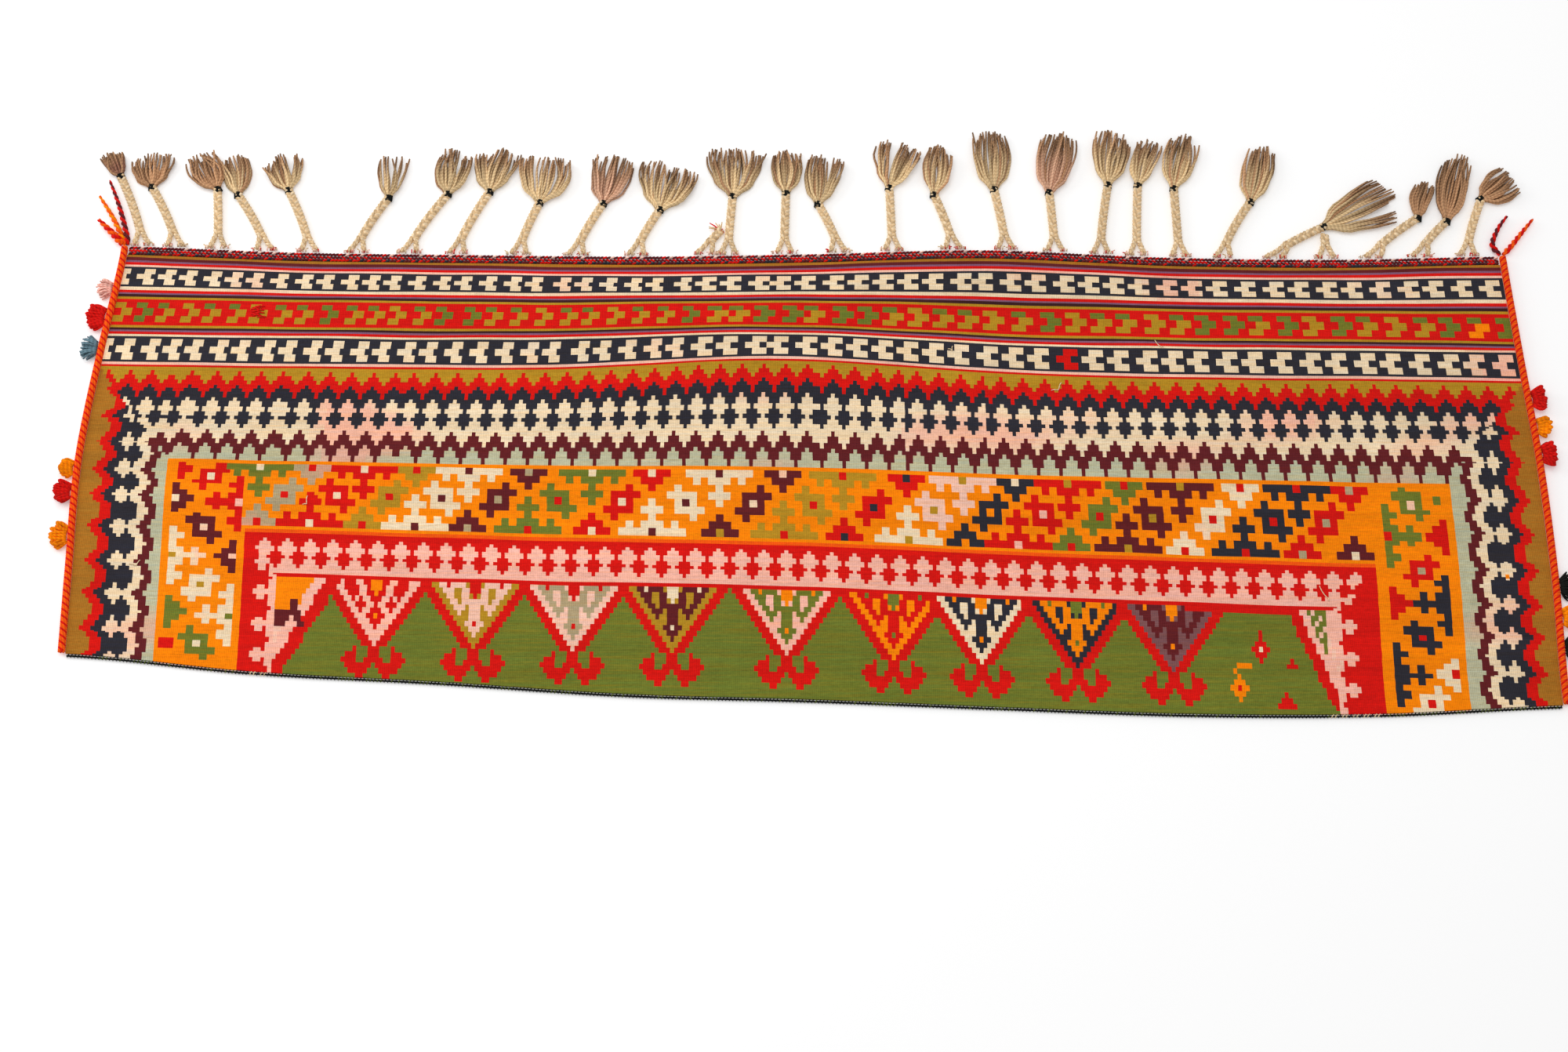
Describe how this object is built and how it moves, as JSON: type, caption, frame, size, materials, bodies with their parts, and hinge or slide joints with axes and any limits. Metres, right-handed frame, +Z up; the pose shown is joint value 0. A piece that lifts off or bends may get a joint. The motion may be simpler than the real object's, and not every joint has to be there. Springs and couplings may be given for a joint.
{
  "type": "table runner",
  "caption": "Flat-woven wool table runner with geometric bands and borders, a twined header, long braided fringe along one edge and yarn tufts down both wrapped selvedges.",
  "frame": {"origin": "underside of the cloth, at the middle of the woven rectangle", "axes": "+X along the runner's length, +Y across it towards the braided fringe, +Z up out of the face"},
  "size_m": [1.5983, 0.6999, 0.014],
  "materials": {
    "kilim_wool": "matte weft-faced wool tapestry weave in many dyed colours",
    "twined_wool": "matte twined wool in maroon, red and olive",
    "selvedge_wool": "two colours of wool, red and orange, wrapped as slanting stripes",
    "overcast_thread": "dark overcast stitches",
    "warp_wool": "undyed tan plaited wool warp, dark at the binding",
    "warp_wool_dark": "undyed brown plaited wool warp, dark at the binding",
    "madder_wool": "matte dyed wool yarn",
    "orange_wool": "matte dyed wool yarn",
    "pink_wool": "matte dyed wool yarn",
    "blue_wool": "matte dyed wool yarn",
    "black_wool": "matte dyed wool yarn",
    "maroon_wool": "matte dyed wool yarn"
  },
  "bodies": {
    "cloth": {"hem_overcast": "overcast_thread", "kilim_panel": "kilim_wool", "left_selvedge_cord": "selvedge_wool", "left_tuft_1": "pink_wool", "left_tuft_2": "madder_wool", "left_tuft_3": "blue_wool", "left_tuft_4": "orange_wool", "left_tuft_5": "madder_wool", "left_tuft_6": "orange_wool", "right_selvedge_cord": "selvedge_wool", "right_tuft_1": "madder_wool", "right_tuft_2": "orange_wool", "right_tuft_3": "madder_wool", "right_tuft_4": "black_wool", "right_tuft_5": "orange_wool", "right_tuft_6": "black_wool", "twined_header": "twined_wool"},
    "braid_01": {"fringe_01": "warp_wool_dark"},
    "braid_02": {"fringe_02": "warp_wool_dark"},
    "braid_03": {"fringe_03": "warp_wool_dark"},
    "braid_04": {"fringe_04": "warp_wool"},
    "braid_05": {"fringe_05": "warp_wool"},
    "braid_06": {"fringe_06": "warp_wool"},
    "braid_07": {"fringe_07": "warp_wool"},
    "braid_08": {"fringe_08": "warp_wool"},
    "braid_09": {"fringe_09": "warp_wool"},
    "braid_10": {"fringe_10": "warp_wool"},
    "braid_11": {"fringe_11": "warp_wool"},
    "braid_12_crossed": {"fringe_12": "warp_wool", "fringe_12_side": "warp_wool"},
    "braid_13": {"fringe_13": "warp_wool"},
    "braid_14": {"fringe_14": "warp_wool"},
    "braid_15": {"fringe_15": "warp_wool"},
    "braid_16": {"fringe_16": "warp_wool"},
    "braid_17": {"fringe_17": "warp_wool"},
    "braid_18": {"fringe_18": "warp_wool"},
    "braid_19": {"fringe_19": "warp_wool"},
    "braid_20": {"fringe_20": "warp_wool"},
    "braid_21": {"fringe_21": "warp_wool"},
    "braid_22": {"fringe_22": "warp_wool"},
    "braid_23_24_bound": {"fringe_23": "warp_wool", "fringe_24": "warp_wool"},
    "braid_25": {"fringe_25": "warp_wool_dark"},
    "braid_26": {"fringe_26": "warp_wool"},
    "braid_27": {"fringe_27": "warp_wool_dark"},
    "left_corner_tails": {"left_tail_red": "madder_wool", "left_tail_orange": "orange_wool", "left_tail_thick": "orange_wool"},
    "right_corner_tails": {"right_tail_red": "maroon_wool", "right_tail_orange": "orange_wool"}
  },
  "joints": [
    {"name": "braid_01_swing", "type": "hinge", "parent": "cloth", "child": "braid_01", "pos_m": [-0.73804, 0.26745, 0.0035], "axis": [1, 0, 0], "range_deg": [-90, 90]},
    {"name": "braid_02_swing", "type": "hinge", "parent": "cloth", "child": "braid_02", "pos_m": [-0.70089, 0.26609, 0.0035], "axis": [1, 0, 0], "range_deg": [-90, 90]},
    {"name": "braid_03_swing", "type": "hinge", "parent": "cloth", "child": "braid_03", "pos_m": [-0.65416, 0.26384, 0.0035], "axis": [1, 0, 0], "range_deg": [-90, 90]},
    {"name": "braid_04_swing", "type": "hinge", "parent": "cloth", "child": "braid_04", "pos_m": [-0.60181, 0.26129, 0.0035], "axis": [1, 0, 0], "range_deg": [-90, 90]},
    {"name": "braid_05_swing", "type": "hinge", "parent": "cloth", "child": "braid_05", "pos_m": [-0.55283, 0.25955, 0.0035], "axis": [1, 0, 0], "range_deg": [-90, 90]},
    {"name": "braid_06_swing", "type": "hinge", "parent": "cloth", "child": "braid_06", "pos_m": [-0.50104, 0.25843, 0.0035], "axis": [1, 0, 0], "range_deg": [-90, 90]},
    {"name": "braid_07_swing", "type": "hinge", "parent": "cloth", "child": "braid_07", "pos_m": [-0.44305, 0.25763, 0.0035], "axis": [1, 0, 0], "range_deg": [-90, 90]},
    {"name": "braid_08_swing", "type": "hinge", "parent": "cloth", "child": "braid_08", "pos_m": [-0.39013, 0.25703, 0.0035], "axis": [1, 0, 0], "range_deg": [-90, 90]},
    {"name": "braid_09_swing", "type": "hinge", "parent": "cloth", "child": "braid_09", "pos_m": [-0.32201, 0.25607, 0.0035], "axis": [1, 0, 0], "range_deg": [-90, 90]},
    {"name": "braid_10_swing", "type": "hinge", "parent": "cloth", "child": "braid_10", "pos_m": [-0.25896, 0.2552, 0.0035], "axis": [1, 0, 0], "range_deg": [-90, 90]},
    {"name": "braid_11_swing", "type": "hinge", "parent": "cloth", "child": "braid_11", "pos_m": [-0.1931, 0.25482, 0.0035], "axis": [1, 0, 0], "range_deg": [-90, 90]},
    {"name": "braid_12_crossed_swing", "type": "hinge", "parent": "cloth", "child": "braid_12_crossed", "pos_m": [-0.09176, 0.25607, 0.0035], "axis": [1, 0, 0], "range_deg": [-90, 90]},
    {"name": "braid_13_swing", "type": "hinge", "parent": "cloth", "child": "braid_13", "pos_m": [-0.02984, 0.25734, 0.0035], "axis": [1, 0, 0], "range_deg": [-90, 90]},
    {"name": "braid_14_swing", "type": "hinge", "parent": "cloth", "child": "braid_14", "pos_m": [0.02984, 0.25889, 0.0035], "axis": [1, 0, 0], "range_deg": [-90, 90]},
    {"name": "braid_15_swing", "type": "hinge", "parent": "cloth", "child": "braid_15", "pos_m": [0.08895, 0.26112, 0.0035], "axis": [1, 0, 0], "range_deg": [-90, 90]},
    {"name": "braid_16_swing", "type": "hinge", "parent": "cloth", "child": "braid_16", "pos_m": [0.15594, 0.26281, 0.0035], "axis": [1, 0, 0], "range_deg": [-90, 90]},
    {"name": "braid_17_swing", "type": "hinge", "parent": "cloth", "child": "braid_17", "pos_m": [0.21393, 0.26252, 0.0035], "axis": [1, 0, 0], "range_deg": [-90, 90]},
    {"name": "braid_18_swing", "type": "hinge", "parent": "cloth", "child": "braid_18", "pos_m": [0.26797, 0.26026, 0.0035], "axis": [1, 0, 0], "range_deg": [-90, 90]},
    {"name": "braid_19_swing", "type": "hinge", "parent": "cloth", "child": "braid_19", "pos_m": [0.31807, 0.25727, 0.0035], "axis": [1, 0, 0], "range_deg": [-90, 90]},
    {"name": "braid_20_swing", "type": "hinge", "parent": "cloth", "child": "braid_20", "pos_m": [0.35804, 0.25503, 0.0035], "axis": [1, 0, 0], "range_deg": [-90, 90]},
    {"name": "braid_21_swing", "type": "hinge", "parent": "cloth", "child": "braid_21", "pos_m": [0.40421, 0.25331, 0.0035], "axis": [1, 0, 0], "range_deg": [-90, 90]},
    {"name": "braid_22_swing", "type": "hinge", "parent": "cloth", "child": "braid_22", "pos_m": [0.45206, 0.25208, 0.0035], "axis": [1, 0, 0], "range_deg": [-90, 90]},
    {"name": "braid_23_24_bound_swing", "type": "hinge", "parent": "cloth", "child": "braid_23_24_bound", "pos_m": [0.50779, 0.25114, 0.0035], "axis": [1, 0, 0], "range_deg": [-90, 90]},
    {"name": "braid_25_swing", "type": "hinge", "parent": "cloth", "child": "braid_25", "pos_m": [0.61701, 0.25157, 0.0035], "axis": [1, 0, 0], "range_deg": [-90, 90]},
    {"name": "braid_26_swing", "type": "hinge", "parent": "cloth", "child": "braid_26", "pos_m": [0.6688, 0.25295, 0.0035], "axis": [1, 0, 0], "range_deg": [-90, 90]},
    {"name": "braid_27_swing", "type": "hinge", "parent": "cloth", "child": "braid_27", "pos_m": [0.72116, 0.2543, 0.0035], "axis": [1, 0, 0], "range_deg": [-90, 90]},
    {"name": "left_corner_tails_swing", "type": "hinge", "parent": "cloth", "child": "left_corner_tails", "pos_m": [-0.7563, 0.26531, 0.0012], "axis": [1, 0, 0], "range_deg": [-90, 90]},
    {"name": "right_corner_tails_swing", "type": "hinge", "parent": "cloth", "child": "right_corner_tails", "pos_m": [0.76035, 0.25244, 0.0012], "axis": [1, 0, 0], "range_deg": [-90, 90]}
  ]
}
